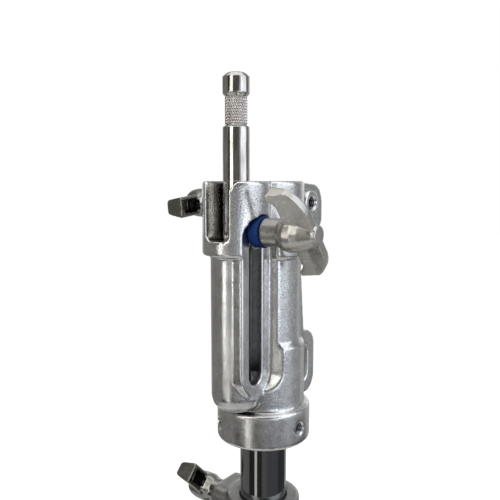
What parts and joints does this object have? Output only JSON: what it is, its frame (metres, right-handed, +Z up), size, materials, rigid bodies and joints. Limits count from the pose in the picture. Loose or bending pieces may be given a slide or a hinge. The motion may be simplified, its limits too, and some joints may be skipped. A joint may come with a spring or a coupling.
{
  "type": "rolling light stand",
  "caption": "Steel rolling stand on folding legs with braked casters, telescoping risers and a cast head holding a junior receiver and a sliding baby pin.",
  "frame": {"origin": "floor point under the column axis, with the casters standing on the floor", "axes": "+Z up along the column; +X towards the pin lock knob; -Y towards the side with the baby pin, between two legs"},
  "size_m": [0.9122, 0.768, 1.2827],
  "materials": {
    "cast_aluminium": "tumbled casting",
    "collar_casting": "tumbled casting",
    "polished_steel": "polished",
    "zinc_hardware": "zinc plated",
    "zinc_plate": "zinc plated sheet",
    "blue_nylon": "satin",
    "knob_aluminium": "satin casting",
    "brass_pad": "turned",
    "nickel_handle": "nickel plated",
    "riser_chrome": "mirror chrome",
    "black_nylon": "matte",
    "wheel_nylon": "satin",
    "grey_rubber": "matte",
    "brake_paint": "gloss enamel"
  },
  "bodies": {
    "stand_base": {"column_tube": "riser_chrome", "column_end_plug": "black_nylon", "brace_hub": "collar_casting", "brace_hub_pins": "zinc_hardware", "lower_collar": "collar_casting"},
    "leg_collar": {"leg_collar": "collar_casting", "leg_collar_pins": "zinc_hardware"},
    "brace_1": {"brace_1": "zinc_plate", "brace_bolt_1": "zinc_hardware"},
    "leg_1": {"leg_tube_1": "riser_chrome", "leg_foot_1": "collar_casting"},
    "caster_1": {"caster_fork_1": "zinc_plate", "axle_1": "zinc_hardware"},
    "wheel_1": {"wheel_1": "wheel_nylon", "tyre_1": "grey_rubber"},
    "brake_1": {"brake_pedal_1": "brake_paint"},
    "brace_2": {"brace_2": "zinc_plate", "brace_bolt_2": "zinc_hardware"},
    "leg_2": {"leg_tube_2": "riser_chrome", "leg_foot_2": "collar_casting"},
    "caster_2": {"caster_fork_2": "zinc_plate", "axle_2": "zinc_hardware"},
    "wheel_2": {"wheel_2": "wheel_nylon", "tyre_2": "grey_rubber"},
    "brake_2": {"brake_pedal_2": "brake_paint"},
    "brace_3": {"brace_3": "zinc_plate", "brace_bolt_3": "zinc_hardware"},
    "leg_3": {"leg_tube_3": "riser_chrome", "leg_foot_3": "collar_casting"},
    "caster_3": {"caster_fork_3": "zinc_plate", "axle_3": "zinc_hardware"},
    "wheel_3": {"wheel_3": "wheel_nylon", "tyre_3": "grey_rubber"},
    "brake_3": {"brake_pedal_3": "brake_paint"},
    "riser_middle": {"riser_middle_tube": "riser_chrome", "riser_middle_guide": "black_nylon", "upper_collar": "collar_casting"},
    "riser_top": {"riser_top_tube": "riser_chrome", "riser_top_guide": "black_nylon", "head_casting": "cast_aluminium", "head_set_screws": "zinc_hardware"},
    "baby_pin": {"baby_pin": "polished_steel", "pin_lock_stud": "zinc_hardware", "pin_lock_bushing": "blue_nylon"},
    "pin_knob": {"pin_lock_knob": "knob_aluminium"},
    "receiver_lock_pad": {"receiver_lock_pad": "brass_pad"},
    "receiver_lock_handle": {"receiver_lock_screw": "zinc_hardware", "receiver_lock_handle": "nickel_handle"},
    "upper_lock_pad": {"upper_lock_pad": "brass_pad"},
    "upper_lock_handle": {"upper_lock_screw": "zinc_hardware", "upper_lock_handle": "nickel_handle"},
    "lower_lock_pad": {"lower_lock_pad": "brass_pad"},
    "lower_lock_handle": {"lower_lock_screw": "zinc_hardware", "lower_lock_handle": "nickel_handle"},
    "leg_lock_pad": {"leg_lock_pad": "brass_pad"},
    "leg_lock_handle": {"leg_lock_screw": "zinc_hardware", "leg_lock_handle": "nickel_handle"}
  },
  "joints": [
    {"name": "leg_fold", "type": "hinge", "parent": "stand_base", "child": "brace_1", "pos_m": [0, 0.046, 0.25492], "axis": [1, 0, 0], "range_deg": [0, 33]},
    {"name": "leg_1_fold", "type": "hinge", "parent": "brace_1", "child": "leg_1", "pos_m": [0, 0.20075, 0.4113], "axis": [1, 0, 0], "range_deg": [-66, 0]},
    {"name": "leg_collar_fold", "type": "hinge", "parent": "leg_1", "child": "leg_collar", "pos_m": [0, 0.046, 0.56767], "axis": [1, 0, 0], "range_deg": [0, 33]},
    {"name": "caster_1_swivel", "type": "hinge", "parent": "leg_1", "child": "caster_1", "pos_m": [0, 0.461, 0.11], "axis": [0, 0, 1], "continuous": true},
    {"name": "wheel_1_spin", "type": "hinge", "parent": "caster_1", "child": "wheel_1", "pos_m": [-0.02538, 0.44917, 0.05], "axis": [0.4226, -0.9063, 0], "continuous": true},
    {"name": "brake_1_press", "type": "hinge", "parent": "caster_1", "child": "brake_1", "pos_m": [-0.04713, 0.43903, 0.104], "axis": [0.4226, -0.9063, 0], "range_deg": [0, 14]},
    {"name": "brace_2_fold", "type": "hinge", "parent": "stand_base", "child": "brace_2", "pos_m": [-0.03984, -0.023, 0.25492], "axis": [-0.5, 0.866, 0], "range_deg": [0, 33]},
    {"name": "leg_2_fold", "type": "hinge", "parent": "brace_2", "child": "leg_2", "pos_m": [-0.17385, -0.10037, 0.4113], "axis": [-0.5, 0.866, 0], "range_deg": [-66, 0]},
    {"name": "caster_2_swivel", "type": "hinge", "parent": "leg_2", "child": "caster_2", "pos_m": [-0.39924, -0.2305, 0.11], "axis": [0, 0, 1], "continuous": true},
    {"name": "wheel_2_spin", "type": "hinge", "parent": "caster_2", "child": "wheel_2", "pos_m": [-0.42462, -0.24233, 0.05], "axis": [0.4226, -0.9063, 0], "continuous": true},
    {"name": "brake_2_press", "type": "hinge", "parent": "caster_2", "child": "brake_2", "pos_m": [-0.44637, -0.25248, 0.104], "axis": [0.4226, -0.9063, 0], "range_deg": [0, 14]},
    {"name": "brace_3_fold", "type": "hinge", "parent": "stand_base", "child": "brace_3", "pos_m": [0.03984, -0.023, 0.25492], "axis": [-0.5, -0.866, 0], "range_deg": [0, 33]},
    {"name": "leg_3_fold", "type": "hinge", "parent": "brace_3", "child": "leg_3", "pos_m": [0.17385, -0.10037, 0.4113], "axis": [-0.5, -0.866, 0], "range_deg": [-66, 0]},
    {"name": "caster_3_swivel", "type": "hinge", "parent": "leg_3", "child": "caster_3", "pos_m": [0.39924, -0.2305, 0.11], "axis": [0, 0, 1], "continuous": true},
    {"name": "wheel_3_spin", "type": "hinge", "parent": "caster_3", "child": "wheel_3", "pos_m": [0.37386, -0.24233, 0.05], "axis": [0.4226, -0.9063, 0], "continuous": true},
    {"name": "brake_3_press", "type": "hinge", "parent": "caster_3", "child": "brake_3", "pos_m": [0.35211, -0.25248, 0.104], "axis": [0.4226, -0.9063, 0], "range_deg": [0, 14]},
    {"name": "middle_riser_lift", "type": "slide", "parent": "stand_base", "child": "riser_middle", "axis": [0, 0, 1], "range_m": [0, 0.55]},
    {"name": "top_riser_lift", "type": "slide", "parent": "riser_middle", "child": "riser_top", "axis": [0, 0, 1], "range_m": [-0.04, 0.5]},
    {"name": "baby_pin_slide", "type": "slide", "parent": "riser_top", "child": "baby_pin", "axis": [0, 0, 1], "range_m": [-0.0847, 0]},
    {"name": "pin_knob_turn", "type": "hinge", "parent": "baby_pin", "child": "pin_knob", "pos_m": [0.0215, -0.0282, 1.19252], "axis": [1, 0, 0], "range_deg": [0, 180]},
    {"name": "receiver_pad_slide", "type": "slide", "parent": "riser_top", "child": "receiver_lock_pad", "axis": [-1, 0, 0], "range_m": [-0.00175, 0.00088]},
    {"name": "receiver_handle_turn", "type": "hinge", "parent": "receiver_lock_pad", "child": "receiver_lock_handle", "pos_m": [-0.04, 0, 1.20692], "axis": [-1, 0, 0], "range_deg": [-360, 180]},
    {"name": "upper_pad_slide", "type": "slide", "parent": "riser_middle", "child": "upper_lock_pad", "axis": [-1, 0, 0], "range_m": [0, 0.000875]},
    {"name": "upper_handle_turn", "type": "hinge", "parent": "upper_lock_pad", "child": "upper_lock_handle", "pos_m": [-0.04, 0, 1.00742], "axis": [-1, 0, 0], "range_deg": [0, 180]},
    {"name": "lower_pad_slide", "type": "slide", "parent": "stand_base", "child": "lower_lock_pad", "axis": [-1, 0, 0], "range_m": [0, 0.000875]},
    {"name": "lower_handle_turn", "type": "hinge", "parent": "lower_lock_pad", "child": "lower_lock_handle", "pos_m": [-0.04, 0, 0.94542], "axis": [-1, 0, 0], "range_deg": [0, 180]},
    {"name": "leg_pad_slide", "type": "slide", "parent": "leg_collar", "child": "leg_lock_pad", "axis": [0, -1, 0], "range_m": [0, 0.000875]},
    {"name": "leg_handle_turn", "type": "hinge", "parent": "leg_lock_pad", "child": "leg_lock_handle", "pos_m": [0, -0.04, 0.60017], "axis": [0, -1, 0], "range_deg": [0, 180]}
  ],
  "couplings": [
    {"joint": "leg_1_fold", "follows": "leg_fold", "ratio": -2},
    {"joint": "leg_collar_fold", "follows": "leg_fold", "ratio": 1},
    {"joint": "brace_2_fold", "follows": "leg_fold", "ratio": 1},
    {"joint": "leg_2_fold", "follows": "leg_fold", "ratio": -2},
    {"joint": "brace_3_fold", "follows": "leg_fold", "ratio": 1},
    {"joint": "leg_3_fold", "follows": "leg_fold", "ratio": -2},
    {"joint": "receiver_handle_turn", "follows": "receiver_pad_slide", "rad_per_m": 3590.4},
    {"joint": "upper_handle_turn", "follows": "upper_pad_slide", "rad_per_m": 3590.4},
    {"joint": "lower_handle_turn", "follows": "lower_pad_slide", "rad_per_m": 3590.4},
    {"joint": "leg_handle_turn", "follows": "leg_pad_slide", "rad_per_m": 3590.4}
  ]
}
